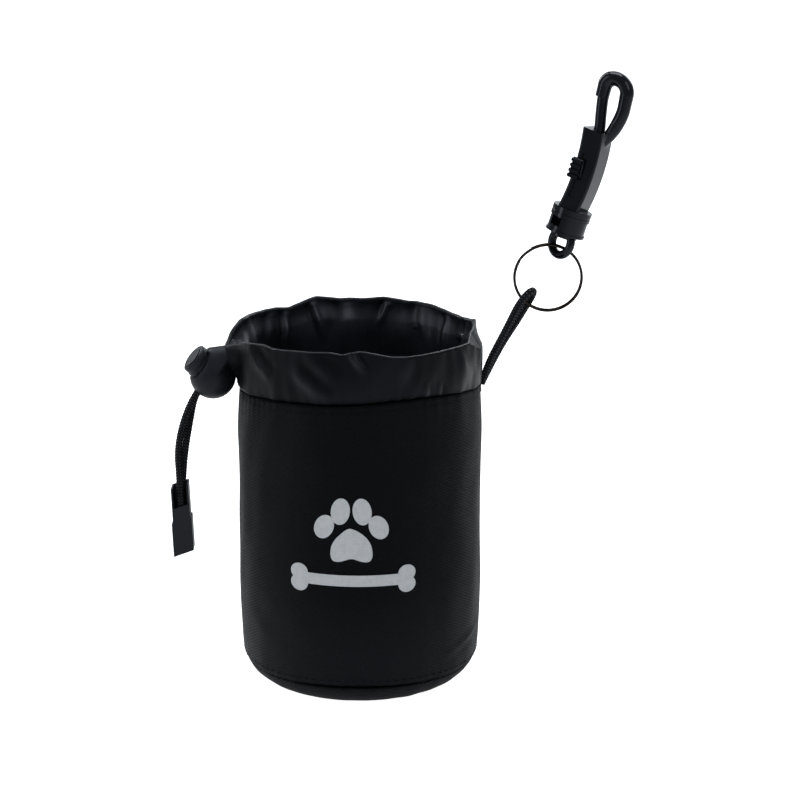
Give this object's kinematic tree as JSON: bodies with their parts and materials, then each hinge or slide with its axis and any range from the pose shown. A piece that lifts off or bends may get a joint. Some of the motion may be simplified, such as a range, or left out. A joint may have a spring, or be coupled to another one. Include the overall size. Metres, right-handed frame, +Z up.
{
  "type": "treat pouch",
  "caption": "Round drawstring fabric pouch with a ball cord lock and cord-end clip, hung from a cord loop, split ring and swivel snap hook.",
  "frame": {"origin": "centre of the pouch's flat base, on the floor", "axes": "+Z up through the mouth, +X towards the snap hook, -Y towards the printed front"},
  "size_m": [0.1716, 0.0906, 0.2258],
  "materials": {
    "outer_fabric": "coated Oxford nylon with a fine basket weave and a low sheen",
    "collar_fabric": "smooth fine nylon taffeta, slightly shiny on its folds",
    "lining_fabric": "smooth coated nylon lining, blue-black",
    "interlining": "thin closed-cell foam sheet",
    "board": "thin polyethylene sheet",
    "cord_braid": "braided round polyester cord",
    "print_film": "light grey heat-pressed film",
    "lock_plastic": "moulded acetal, satin",
    "clip_plastic": "moulded plastic, satin",
    "hook_plastic": "moulded acetal, polished",
    "spring_steel": "drawn spring wire",
    "ring_nickel": "dark nickel plate"
  },
  "bodies": {
    "pouch": {"outer_wall": "outer_fabric", "base_panel": "outer_fabric", "base_board": "board", "wall_foam": "interlining", "lining_wall": "lining_fabric", "lining_base": "lining_fabric", "collar": "collar_fabric", "drawcord": "cord_braid", "paw_print": "print_film", "bone_print": "print_film"},
    "cord_lock": {"lock_body": "lock_plastic", "lock_spring": "spring_steel"},
    "lock_plunger": {"lock_plunger": "lock_plastic"},
    "cord_tails": {"tail_front": "cord_braid", "tail_back": "cord_braid", "tail_knot": "cord_braid", "cord_end_base": "clip_plastic"},
    "cord_end_lid": {"cord_end_lid": "clip_plastic"},
    "hang_loop": {"hang_loop": "cord_braid"},
    "split_ring": {"split_ring": "ring_nickel"},
    "swivel_eye": {"swivel_eye": "hook_plastic"},
    "snap_hook": {"hook_housing": "hook_plastic", "bolt_spring": "spring_steel"},
    "snap_bolt": {"snap_bolt": "hook_plastic"}
  },
  "joints": [
    {"name": "lock_slide", "type": "hinge", "parent": "pouch", "child": "cord_lock", "pos_m": [-0.0146, 0, 0.0813], "axis": [0, -1, 0], "range_deg": [0, 22]},
    {"name": "plunger_press", "type": "slide", "parent": "cord_lock", "child": "lock_plunger", "axis": [0.7533, 0.1805, -0.6324], "range_m": [0, 0.0024], "stiffness_N_per_m": 700, "springref_m": -0.003, "deforming": ["lock_spring"]},
    {"name": "tail_swing", "type": "hinge", "parent": "pouch", "child": "cord_tails", "pos_m": [-0.0602, 0, 0.1078], "axis": [0, 1, 0], "range_deg": [-15, 60], "deforming": ["tail_front", "tail_back"]},
    {"name": "cord_end_lid_hinge", "type": "hinge", "parent": "cord_tails", "child": "cord_end_lid", "pos_m": [-0.0659, -0.00245, 0.0459], "axis": [0.9413, 0, 0.3375], "range_deg": [0, 110]},
    {"name": "hang_loop_swing", "type": "hinge", "parent": "pouch", "child": "hang_loop", "pos_m": [0.0455, 0, 0.1106], "axis": [0, 1, 0], "range_deg": [-20, 110], "deforming": ["hang_loop"]},
    {"name": "ring_turn", "type": "hinge", "parent": "hang_loop", "child": "split_ring", "pos_m": [0.0689, 0, 0.151], "axis": [0, 1, 0], "range_deg": [-75, 90]},
    {"name": "eye_swing", "type": "hinge", "parent": "split_ring", "child": "swivel_eye", "pos_m": [0.07329, 0, 0.16244], "axis": [0.9336, 0, -0.3584], "range_deg": [-60, 60]},
    {"name": "hook_swivel", "type": "hinge", "parent": "swivel_eye", "child": "snap_hook", "pos_m": [0.0737, 0, 0.1646], "axis": [0.309, 0, 0.9511], "continuous": true},
    {"name": "bolt_slide", "type": "slide", "parent": "snap_hook", "child": "snap_bolt", "axis": [-0.309, 0, -0.9511], "range_m": [0, 0.008], "stiffness_N_per_m": 300, "springref_m": -0.004, "deforming": ["bolt_spring"]}
  ]
}
